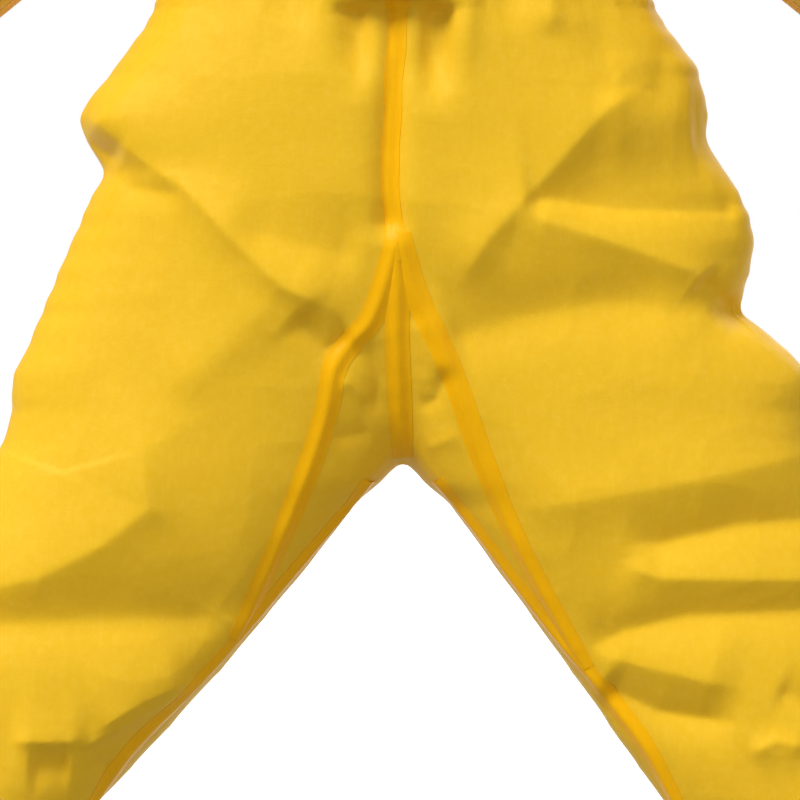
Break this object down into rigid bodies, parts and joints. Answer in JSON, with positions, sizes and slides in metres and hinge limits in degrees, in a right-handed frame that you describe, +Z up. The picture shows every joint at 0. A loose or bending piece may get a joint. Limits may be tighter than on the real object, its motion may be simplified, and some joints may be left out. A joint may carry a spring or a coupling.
{
  "type": "chemical protective suit",
  "caption": "Hooded one-piece chemical protective coverall with taped seams, a crotch gusset, a front zip under a storm flap, and elastic at the face, waist, wrists and ankles.",
  "frame": {"origin": "the middle of the neck seam, where the wearer's shoulders carry the garment", "axes": "+Z up along the body, the wearer faces -Y, and the wearer's left is +X"},
  "size_m": [1.5184, 0.2877, 1.7402],
  "materials": {
    "coated_fabric": "yellow polymer-coated non-woven, satin, finely mottled",
    "seam_tape": "orange-yellow heat-sealed film tape, semi-gloss",
    "elastic": "gathered fabric over elastic, matte",
    "zip_cloth": "woven zip tape, matte",
    "zip_plastic": "moulded plastic",
    "release_film": "pale release film over double-sided adhesive"
  },
  "bodies": {
    "trunk": {"trunk_left": "coated_fabric", "trunk_right": "coated_fabric", "gusset_front_left": "coated_fabric", "gusset_front_right": "coated_fabric", "gusset_back_left": "coated_fabric", "gusset_back_right": "coated_fabric", "waist_elastic_left": "elastic", "waist_elastic_right": "elastic", "neck_tape": "seam_tape", "armhole_tape_left": "seam_tape", "armhole_tape_right": "seam_tape", "front_rise_tape": "seam_tape", "gusset_front_tape": "seam_tape", "back_rise_tape": "seam_tape", "gusset_back_tape": "seam_tape", "gusset_side_tape_front_left": "seam_tape", "gusset_side_tape_front_right": "seam_tape", "gusset_side_tape_back_left": "seam_tape", "gusset_side_tape_back_right": "seam_tape", "zip_coil_left": "zip_plastic", "zip_coil_right": "zip_plastic", "zip_tape_left": "zip_cloth", "zip_tape_right": "zip_cloth", "zip_bottom_stop": "zip_plastic", "flap_adhesive_strip": "release_film"},
    "leg_left": {"thigh_left": "coated_fabric", "gusset_leg_left": "coated_fabric", "leg_gusset_tape_front_left": "seam_tape", "leg_gusset_tape_back_left": "seam_tape", "inseam_tape_upper_left": "seam_tape"},
    "shin_left": {"lower_leg_left": "coated_fabric", "inseam_tape_lower_left": "seam_tape", "ankle_elastic_left": "elastic"},
    "arm_left": {"upper_sleeve_left": "coated_fabric", "underarm_tape_upper_left": "seam_tape"},
    "forearm_left": {"lower_sleeve_left": "coated_fabric", "underarm_tape_lower_left": "seam_tape", "wrist_elastic_left": "elastic"},
    "leg_right": {"thigh_right": "coated_fabric", "gusset_leg_right": "coated_fabric", "leg_gusset_tape_front_right": "seam_tape", "leg_gusset_tape_back_right": "seam_tape", "inseam_tape_upper_right": "seam_tape"},
    "shin_right": {"lower_leg_right": "coated_fabric", "inseam_tape_lower_right": "seam_tape", "ankle_elastic_right": "elastic"},
    "arm_right": {"upper_sleeve_right": "coated_fabric", "underarm_tape_upper_right": "seam_tape"},
    "forearm_right": {"lower_sleeve_right": "coated_fabric", "underarm_tape_lower_right": "seam_tape", "wrist_elastic_right": "elastic"},
    "hood": {"hood_crown": "coated_fabric", "hood_left": "coated_fabric", "hood_right": "coated_fabric", "face_elastic": "elastic", "hood_tape_left": "seam_tape", "hood_tape_right": "seam_tape"},
    "slider": {"zip_slider": "zip_plastic"},
    "pull": {"zip_pull": "zip_plastic"},
    "flap": {"storm_flap": "coated_fabric"}
  },
  "joints": [
    {"name": "hip_left", "type": "hinge", "parent": "trunk", "child": "leg_left", "pos_m": [0, 0, -0.88], "axis": [0, 1, 0], "range_deg": [0, 22]},
    {"name": "knee_left", "type": "hinge", "parent": "leg_left", "child": "shin_left", "pos_m": [0.37488, 0.082, -1.1214], "axis": [0.8572, 0, 0.515], "range_deg": [0, 95]},
    {"name": "shoulder_left", "type": "hinge", "parent": "trunk", "child": "arm_left", "pos_m": [0.246, 0, -0.078], "axis": [0, -1, 0], "range_deg": [0, 80]},
    {"name": "elbow_left", "type": "hinge", "parent": "arm_left", "child": "forearm_left", "pos_m": [0.48094, -0.07, -0.39074], "axis": [-0.6691, 0, -0.7431], "range_deg": [0, 100]},
    {"name": "hip_right", "type": "hinge", "parent": "trunk", "child": "leg_right", "pos_m": [0, 0, -0.88], "axis": [0, -1, 0], "range_deg": [0, 22]},
    {"name": "knee_right", "type": "hinge", "parent": "leg_right", "child": "shin_right", "pos_m": [-0.37488, 0.082, -1.1214], "axis": [0.8572, 0, -0.515], "range_deg": [0, 95]},
    {"name": "shoulder_right", "type": "hinge", "parent": "trunk", "child": "arm_right", "pos_m": [-0.246, 0, -0.078], "axis": [0, 1, 0], "range_deg": [0, 80]},
    {"name": "elbow_right", "type": "hinge", "parent": "arm_right", "child": "forearm_right", "pos_m": [-0.48094, -0.07, -0.39074], "axis": [-0.6691, 0, 0.7431], "range_deg": [0, 100]},
    {"name": "hood_fold", "type": "hinge", "parent": "trunk", "child": "hood", "pos_m": [0, 0.062, 0], "axis": [-1, 0, 0], "range_deg": [0, 66]},
    {"name": "zip_slide", "type": "slide", "parent": "trunk", "child": "slider", "axis": [0, 0, -1], "range_m": [0, 0.375]},
    {"name": "pull_tilt", "type": "hinge", "parent": "slider", "child": "pull", "pos_m": [0, -0.1216, -0.0155], "axis": [-1, 0, 0], "range_deg": [0, 150]},
    {"name": "flap_open", "type": "hinge", "parent": "trunk", "child": "flap", "pos_m": [0.045, -0.1183, -0.238], "axis": [0, 0, 1], "range_deg": [0, 140]}
  ]
}
